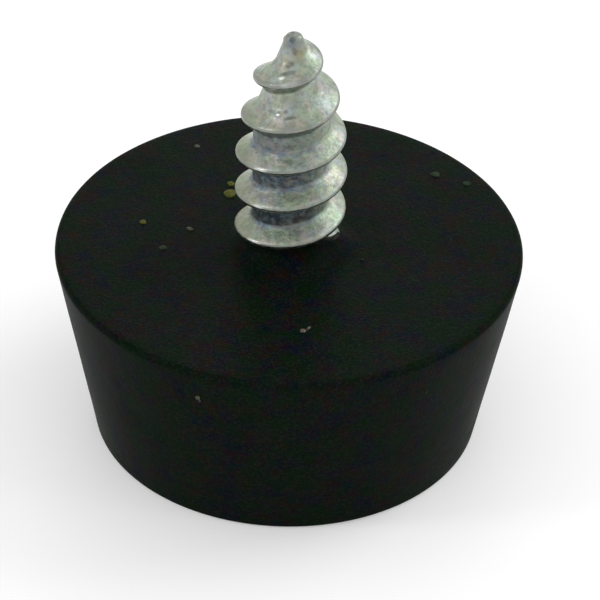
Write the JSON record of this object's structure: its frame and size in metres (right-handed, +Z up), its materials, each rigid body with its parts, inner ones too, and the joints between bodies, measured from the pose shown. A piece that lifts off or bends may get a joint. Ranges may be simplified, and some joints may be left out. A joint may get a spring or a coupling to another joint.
{
  "type": "rubber foot",
  "caption": "Tapered round rubber foot with a coarse-thread steel screw moulded into its wide face, which screws up under furniture so that the narrow face stands on the floor.",
  "frame": {"origin": "centre of the narrow floor face", "axes": "+Z up along the screw, square to both faces; +X is the side where the thread's first whole turn is measured"},
  "size_m": [0.0252, 0.0252, 0.0245],
  "materials": {
    "black_rubber": "moulded black rubber, satin, with fine grain and a few specks of dust",
    "zinc_plated_steel": "dull bright zinc plating on a rolled thread"
  },
  "bodies": {
    "root": {"rubber_body": "black_rubber", "screw": "zinc_plated_steel"}
  },
  "joints": []
}
